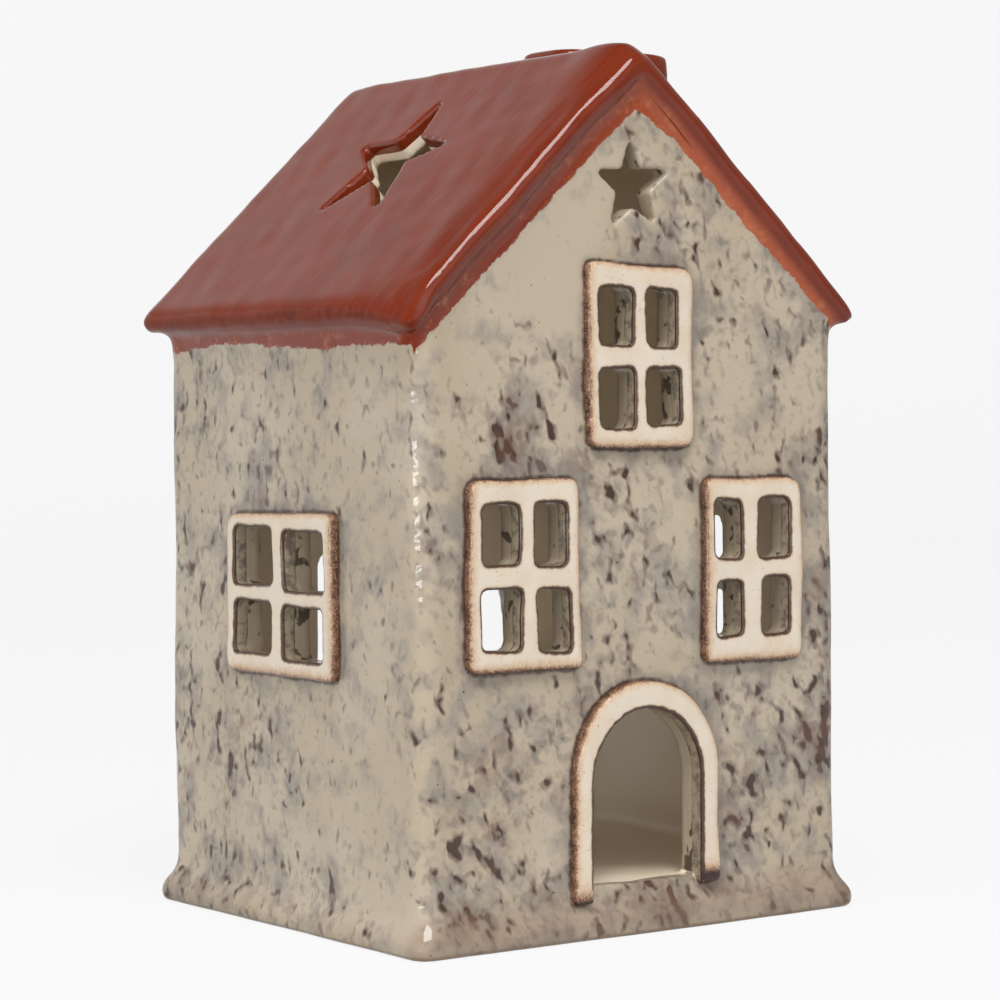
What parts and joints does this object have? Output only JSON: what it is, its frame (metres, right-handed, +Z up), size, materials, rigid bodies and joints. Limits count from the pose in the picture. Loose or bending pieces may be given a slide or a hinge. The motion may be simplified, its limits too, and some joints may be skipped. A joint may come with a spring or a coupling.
{
  "type": "tealight house",
  "caption": "Glazed pottery house lantern for a tealight: walls with raised window frames, arched doorway, pitched roof with a star cut-out and a chimney, open arch at the back.",
  "frame": {"origin": "on the ground, under the middle of the roof", "axes": "+Z up, front gable with the doorway facing -Y, chimney on the +X slope"},
  "size_m": [0.1068, 0.1006, 0.172],
  "materials": {
    "wall_glaze": "glossy beige glaze with blue-grey and brown flecks",
    "roof_glaze": "glossy red-brown glaze",
    "trim_glaze": "glossy cream glaze, burnt brown along its edges",
    "cup_aluminium": "bright rolled foil",
    "candle_wax": "smooth white wax",
    "wick_cotton": "braided waxed cotton",
    "sustainer_tin": "tinned steel"
  },
  "bodies": {
    "house": {"base_slab": "wall_glaze", "front_wall": "wall_glaze", "back_wall": "wall_glaze", "left_wall": "wall_glaze", "right_wall": "wall_glaze", "left_roof_slab": "roof_glaze", "right_roof_slab": "roof_glaze", "chimney": "roof_glaze", "upper_window_frame": "trim_glaze", "front_left_window_frame": "trim_glaze", "front_right_window_frame": "trim_glaze", "left_window_frame": "trim_glaze", "right_window_frame": "trim_glaze", "door_surround": "trim_glaze"},
    "tealight": {"tealight_cup": "cup_aluminium", "tealight_wax": "candle_wax", "tealight_wick": "wick_cotton", "wick_sustainer": "sustainer_tin"}
  },
  "joints": [
    {"name": "tealight_slide", "type": "slide", "parent": "house", "child": "tealight", "axis": [0, 1, 0], "range_m": [-0.03, 0.062]}
  ]
}
